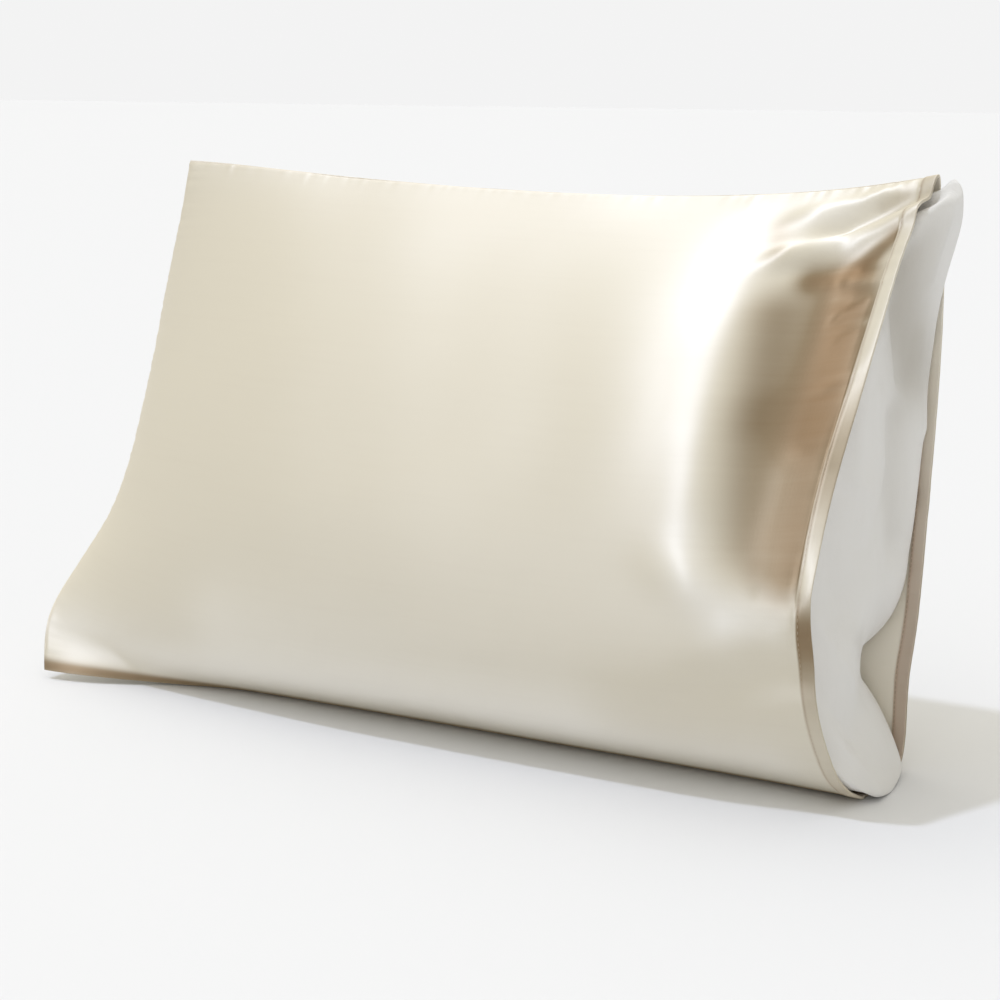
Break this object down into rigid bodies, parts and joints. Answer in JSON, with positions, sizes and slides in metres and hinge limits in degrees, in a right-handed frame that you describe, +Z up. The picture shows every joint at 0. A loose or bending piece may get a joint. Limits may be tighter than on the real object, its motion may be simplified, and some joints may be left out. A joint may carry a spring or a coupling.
{
  "type": "travel pillowcase with pillow",
  "caption": "Ivory satin travel pillowcase filled by its small white pillow, standing on one long edge, with a narrow-hemmed mouth open at one end",
  "frame": {"origin": "on the surface it stands on, under the middle of its box", "axes": "+X runs from the closed end to the open mouth, -Y is the side its front panel faces, +Z is up"},
  "size_m": [0.5074, 0.171, 0.2995],
  "materials": {
    "satin_front": "ivory satin, smooth and softly glossy, the float side out",
    "satin_back": "ivory satin, the same cloth as the front, salmon-beige and duller on its inside at the mouth",
    "white_cotton": "matt white plain-woven cotton cover"
  },
  "bodies": {
    "root": {"front_panel": "satin_front", "back_panel": "satin_back", "pillow_insert": "white_cotton"}
  },
  "joints": []
}
